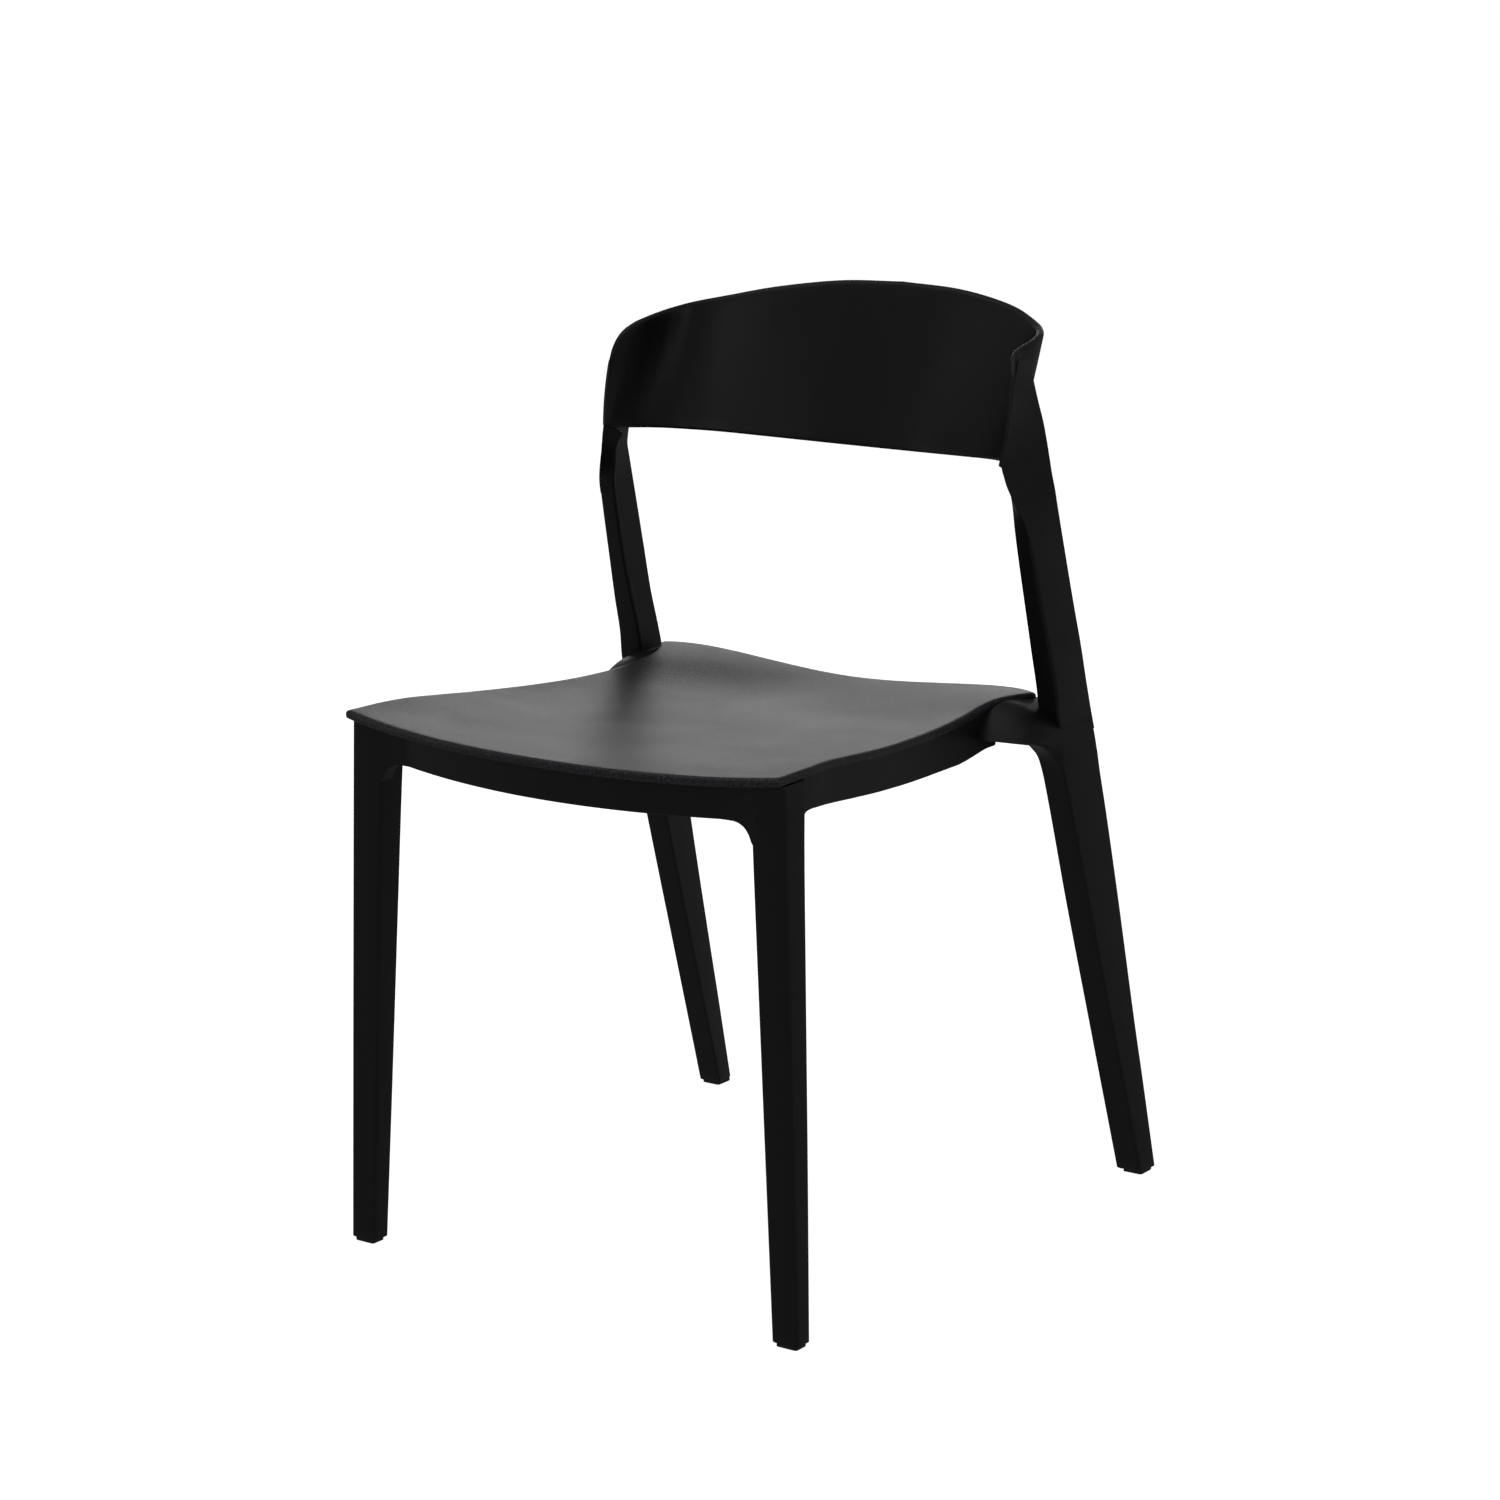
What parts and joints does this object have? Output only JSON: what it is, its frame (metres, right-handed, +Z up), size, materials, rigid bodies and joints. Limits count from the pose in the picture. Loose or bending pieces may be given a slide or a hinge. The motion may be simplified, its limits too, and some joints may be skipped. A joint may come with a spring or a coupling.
{
  "type": "stacking chair",
  "caption": "Armless stacking side chair with a dished seat, tapered splayed legs and a low curved back band whose wings fold into channel-shaped uprights.",
  "frame": {"origin": "centre of the bounding box's base, on the floor", "axes": "+Z up, front of the chair towards -Y, the sitter's left at +X"},
  "size_m": [0.488, 0.5932, 0.7893],
  "materials": {
    "frame": "satin moulded glass-filled polypropylene, black",
    "seat": "fine grained moulded polypropylene, black",
    "glide": "plain moulded nylon, black",
    "pad": "matt elastomer, black",
    "screw": "zinc plated steel"
  },
  "bodies": {
    "root": {"seat_shell": "seat", "back_band": "frame", "front_rail": "frame", "rear_rail": "frame", "front_leg_right": "frame", "rear_leg_right": "frame", "side_rail_right": "frame", "glide_front_right": "glide", "glide_rear_right": "glide", "seat_screw_front_right": "screw", "seat_screw_rear_right": "screw", "stack_pad_front_right": "pad", "stack_pad_rear_right": "pad", "front_leg_left": "frame", "rear_leg_left": "frame", "side_rail_left": "frame", "glide_front_left": "glide", "glide_rear_left": "glide", "seat_screw_front_left": "screw", "seat_screw_rear_left": "screw", "stack_pad_front_left": "pad", "stack_pad_rear_left": "pad"}
  },
  "joints": []
}
